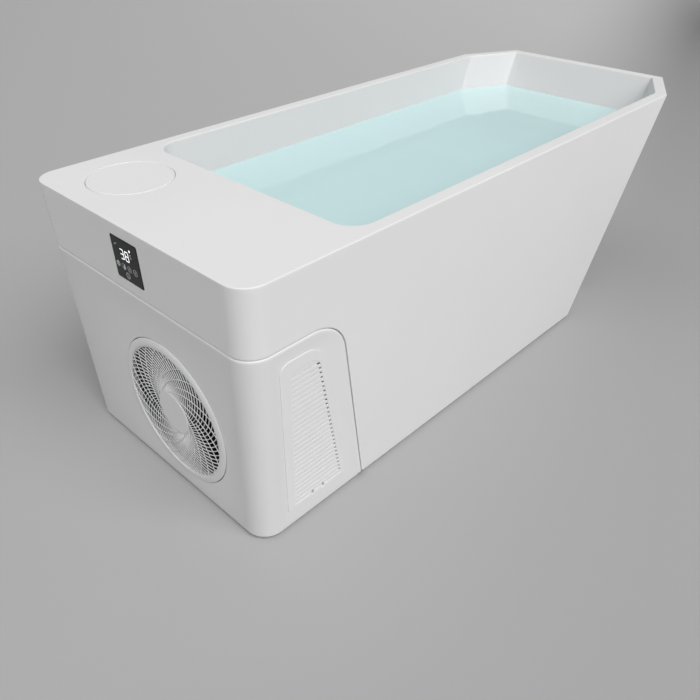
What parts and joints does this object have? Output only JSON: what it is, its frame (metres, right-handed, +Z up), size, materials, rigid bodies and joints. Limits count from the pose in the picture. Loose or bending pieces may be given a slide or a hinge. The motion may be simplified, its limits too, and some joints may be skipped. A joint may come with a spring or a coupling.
{
  "type": "cold plunge tub",
  "caption": "Long tub with a sloped, chamfered far end, and a machine bay at the other end that filters, chills and warms its water behind a lift-off louvred cover.",
  "frame": {"origin": "on the floor, under the middle of the rim", "axes": "+Z up, +X from the machine end to the far end, -Y the side with the seen vent panel"},
  "size_m": [1.701, 0.7, 0.62],
  "materials": {
    "shell_white": "smooth gloss moulding",
    "cover_white": "satin moulding",
    "display_glass": "dark printed glass",
    "zinc_steel": "zinc plated",
    "black_steel": "black powder coat",
    "coil_aluminium": "bare fins",
    "copper_line": "bare copper tube",
    "black_rubber": "matt rubber",
    "pipe_grey": "rigid pipe",
    "black_plastic": "moulded plastic",
    "fitting_chrome": "polished plate",
    "plywood": "sealed board",
    "filter_paper": "pleated media",
    "circuit_green": "circuit board"
  },
  "bodies": {
    "tub": {"tub_shell": "shell_white", "basin": "shell_white", "display_glass": "display_glass", "support_post_1": "zinc_steel", "support_post_2": "zinc_steel", "support_post_3": "zinc_steel", "support_post_4": "zinc_steel", "machine_tray": "zinc_steel", "fan_motor": "zinc_steel", "frame_rail_near": "black_steel", "frame_rail_far": "black_steel", "frame_cross_front": "black_steel", "frame_cross_rear": "black_steel", "fan_shroud": "black_steel", "compressor": "black_steel", "pump_motor": "black_steel", "condenser_coil": "coil_aluminium", "discharge_line": "copper_line", "liquid_line": "copper_line", "suction_line": "copper_line", "levelling_foot_1": "black_rubber", "levelling_foot_2": "black_rubber", "levelling_foot_3": "black_rubber", "levelling_foot_4": "black_rubber", "compressor_foot_1": "black_rubber", "compressor_foot_2": "black_rubber", "compressor_foot_3": "black_rubber", "drain_pipe": "pipe_grey", "suction_pipe": "pipe_grey", "pump_feed_pipe": "pipe_grey", "pump_outlet_pipe": "pipe_grey", "return_pipe": "pipe_grey", "filter_housing": "pipe_grey", "drain_cap": "black_plastic", "heat_exchanger": "black_plastic", "circulation_pump": "black_plastic", "display_housing": "black_plastic", "control_box": "black_plastic", "cable_gland": "black_plastic", "suction_fitting": "fitting_chrome", "return_fitting": "fitting_chrome", "drain_body": "fitting_chrome", "basin_baseboard": "plywood", "filter_cartridge": "filter_paper", "display_board": "circuit_green"},
    "cover": {"machine_cover": "cover_white", "fan_grille": "cover_white", "fan_guard": "cover_white"},
    "vent_near": {"vent_panel_near": "cover_white", "vent_filter_near": "black_plastic"},
    "vent_far": {"vent_panel_far": "cover_white", "vent_filter_far": "black_plastic"},
    "lid": {"filter_lid": "shell_white", "lid_gasket": "black_rubber"},
    "fan": {"fan_rotor": "black_plastic"},
    "drain_plug_body": {"drain_plug": "fitting_chrome"}
  },
  "joints": [
    {"name": "cover_pull", "type": "slide", "parent": "tub", "child": "cover", "axis": [-1, 0, 0], "range_m": [0, 0.34]},
    {"name": "vent_near_pull", "type": "slide", "parent": "cover", "child": "vent_near", "axis": [0, -0.9992, -0.039], "range_m": [0, 0.06]},
    {"name": "vent_far_pull", "type": "slide", "parent": "cover", "child": "vent_far", "axis": [0, 0.9992, -0.039], "range_m": [0, 0.06]},
    {"name": "lid_lift", "type": "slide", "parent": "tub", "child": "lid", "axis": [0, 0, 1], "range_m": [0, 0.12]},
    {"name": "fan_spin", "type": "hinge", "parent": "tub", "child": "fan", "pos_m": [-0.80018, -0.066, 0.217], "axis": [1, 0, 0], "continuous": true},
    {"name": "drain_rise", "type": "slide", "parent": "tub", "child": "drain_plug_body", "axis": [0, 0, 1], "range_m": [0, 0.01]}
  ]
}
